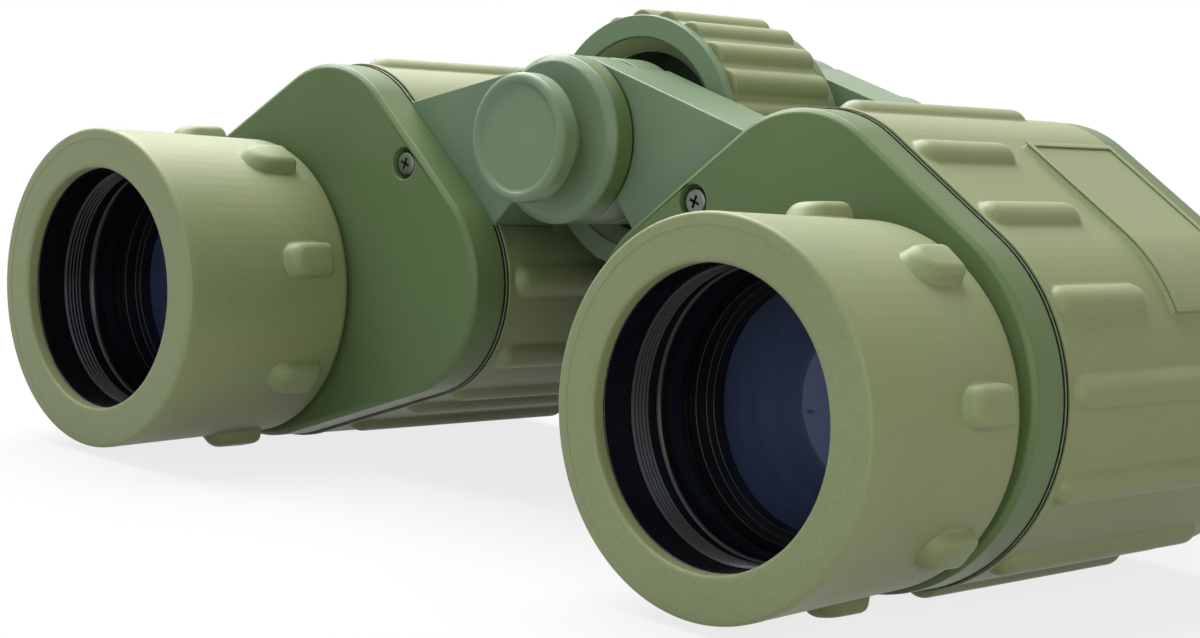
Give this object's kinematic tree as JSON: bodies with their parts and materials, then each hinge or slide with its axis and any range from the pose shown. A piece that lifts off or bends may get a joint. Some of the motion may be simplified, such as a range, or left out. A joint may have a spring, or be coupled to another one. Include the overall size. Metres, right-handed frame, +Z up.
{
  "type": "prism binocular",
  "caption": "Centre-focus prism binocular with rubber-armoured halves on a folding hinge, a lobed focus wheel, sliding eyepieces and a tripod socket under a screw cap.",
  "frame": {"origin": "on the hinge axis, inside the tripod socket, level with the front of the hinge hub", "axes": "+X towards the user's left half, across both barrels; -Y out of the tripod socket, the way the objectives look; +Z up"},
  "size_m": [0.1788, 0.126, 0.0705],
  "materials": {
    "sleeve_rubber": "moulded olive rubber, fine speckled texture",
    "armour_rubber": "moulded olive rubber, fine speckled texture",
    "eyecup_rubber": "soft matt black rubber",
    "cover_paint": "satin green paint on a light alloy casting",
    "arm_paint": "satin grey-green paint on a light alloy casting",
    "black_metal": "matt black anodised",
    "coated_glass": "lens glass with a blue-violet coating",
    "prism_glass": "clear ground prism glass",
    "screw_steel": "bright cross-head screws",
    "spring_steel": "plain steel",
    "black_plastic": "matt black plastic"
  },
  "bodies": {
    "left_half": {"left_objective_sleeve": "sleeve_rubber", "left_objective_barrel": "black_metal", "left_objective_lens": "coated_glass", "left_lens_retainer": "black_metal", "left_front_cover": "cover_paint", "left_front_cover_screw": "screw_steel", "left_prism_housing": "arm_paint", "left_housing_armour": "armour_rubber", "left_prism_front": "prism_glass", "left_prism_rear": "prism_glass", "left_prism_shelf": "black_metal", "left_prism_clips": "spring_steel", "left_rear_cover": "cover_paint", "left_rear_cover_screws": "screw_steel", "left_eyepiece_guide": "black_metal", "hinge_hub": "arm_paint", "front_hinge_pin": "spring_steel", "rear_hinge_tube": "spring_steel", "hinge_washers": "spring_steel"},
    "right_half": {"right_objective_sleeve": "sleeve_rubber", "right_objective_barrel": "black_metal", "right_objective_lens": "coated_glass", "right_lens_retainer": "black_metal", "right_front_cover": "cover_paint", "right_front_cover_screw": "screw_steel", "right_prism_housing": "arm_paint", "right_housing_armour": "armour_rubber", "right_prism_front": "prism_glass", "right_prism_rear": "prism_glass", "right_prism_shelf": "black_metal", "right_prism_clips": "spring_steel", "right_rear_cover": "cover_paint", "right_rear_cover_screws": "screw_steel", "right_eyepiece_guide": "black_metal"},
    "focus_drive": {"focus_wheel": "arm_paint", "focus_grip": "armour_rubber"},
    "left_carriage": {"left_bridge_arm": "arm_paint", "left_ocular_barrel": "black_metal", "left_ocular_lenses": "coated_glass", "left_eyecup": "eyecup_rubber", "focus_spindle": "spring_steel", "bridge_cap": "arm_paint"},
    "right_carriage": {"right_bridge_arm": "arm_paint", "right_ocular_carrier": "black_metal"},
    "dioptre_control": {"dioptre_ring": "black_plastic"},
    "right_ocular": {"right_ocular_barrel": "black_metal", "right_ocular_lenses": "coated_glass", "right_eyecup": "eyecup_rubber"},
    "tripod_plug": {"tripod_cap": "arm_paint"}
  },
  "joints": [
    {"name": "eye_spacing_hinge", "type": "hinge", "parent": "left_half", "child": "right_half", "pos_m": [0, 0.03, 0], "axis": [0, 1, 0], "range_deg": [-6, 52]},
    {"name": "focus_turn", "type": "hinge", "parent": "left_half", "child": "focus_drive", "pos_m": [0, 0.03, 0], "axis": [0, 1, 0], "range_deg": [-180, 180]},
    {"name": "left_focus_slide", "type": "slide", "parent": "left_half", "child": "left_carriage", "axis": [0, 1, 0], "range_m": [-0.003, 0.003]},
    {"name": "right_focus_slide", "type": "slide", "parent": "right_half", "child": "right_carriage", "axis": [0, 1, 0], "range_m": [-0.003, 0.003]},
    {"name": "dioptre_turn", "type": "hinge", "parent": "right_carriage", "child": "dioptre_control", "pos_m": [-0.02756, 0.081, -0.02328], "axis": [0, 1, 0], "range_deg": [-50, 50]},
    {"name": "dioptre_slide", "type": "slide", "parent": "dioptre_control", "child": "right_ocular", "axis": [0, 1, 0], "range_m": [-0.0015, 0.0015]},
    {"name": "tripod_cap_out", "type": "slide", "parent": "left_half", "child": "tripod_plug", "axis": [0, -1, 0], "range_m": [0, 0.05]}
  ],
  "couplings": [
    {"joint": "left_focus_slide", "follows": "focus_turn", "m_per_rad": 0.00095},
    {"joint": "right_focus_slide", "follows": "focus_turn", "m_per_rad": 0.00095},
    {"joint": "dioptre_slide", "follows": "dioptre_turn", "m_per_rad": 0.0017}
  ]
}
